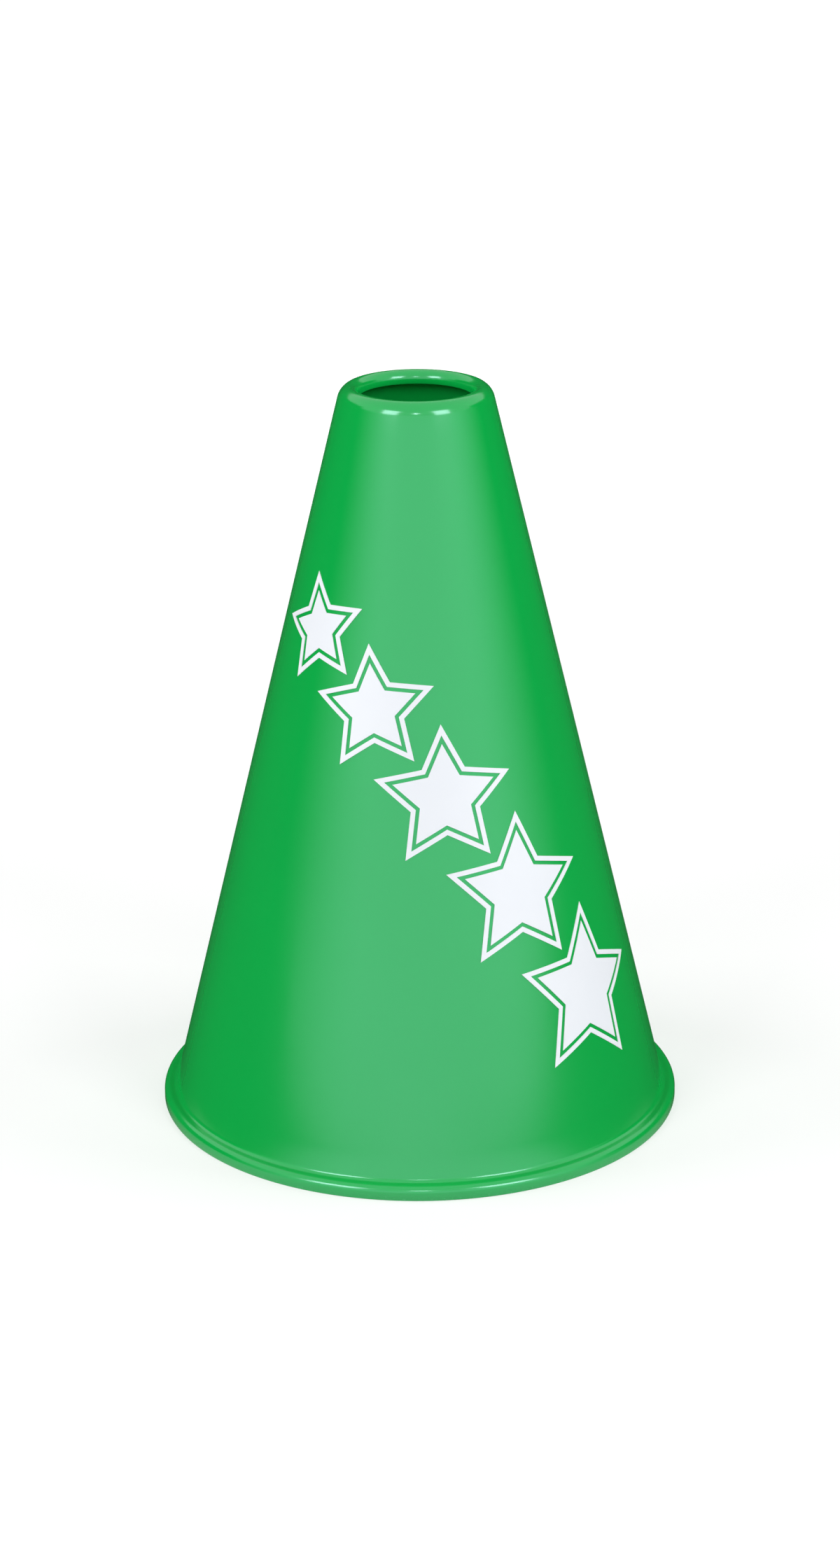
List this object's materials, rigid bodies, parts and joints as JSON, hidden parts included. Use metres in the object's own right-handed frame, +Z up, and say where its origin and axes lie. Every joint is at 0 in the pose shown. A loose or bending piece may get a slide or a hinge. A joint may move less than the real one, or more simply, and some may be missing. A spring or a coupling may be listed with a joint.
{
  "type": "cheer megaphone",
  "caption": "Hand-held moulded plastic cone, open at both ends, with a rolled mouth lip and a turned bell rim, that directs the voice; a diagonal row of white vinyl star decals on its front.",
  "frame": {"origin": "centre of the rest ring under the bell rim, on the surface that the megaphone stands on", "axes": "+Z up the cone's axis from the bell to the mouth, -Y to the front with the decals, +X to the right seen from the front"},
  "size_m": [0.17, 0.17, 0.24],
  "materials": {
    "shell_plastic": "glossy injection-moulded polyethylene, bright green",
    "decal_vinyl": "cut self-adhesive vinyl film, white"
  },
  "bodies": {
    "root": {"cone_shell": "shell_plastic", "star_fill_1": "decal_vinyl", "star_outline_1": "decal_vinyl", "star_fill_2": "decal_vinyl", "star_outline_2": "decal_vinyl", "star_fill_3": "decal_vinyl", "star_outline_3": "decal_vinyl", "star_fill_4": "decal_vinyl", "star_outline_4": "decal_vinyl", "star_fill_5": "decal_vinyl", "star_outline_5": "decal_vinyl"}
  },
  "joints": []
}
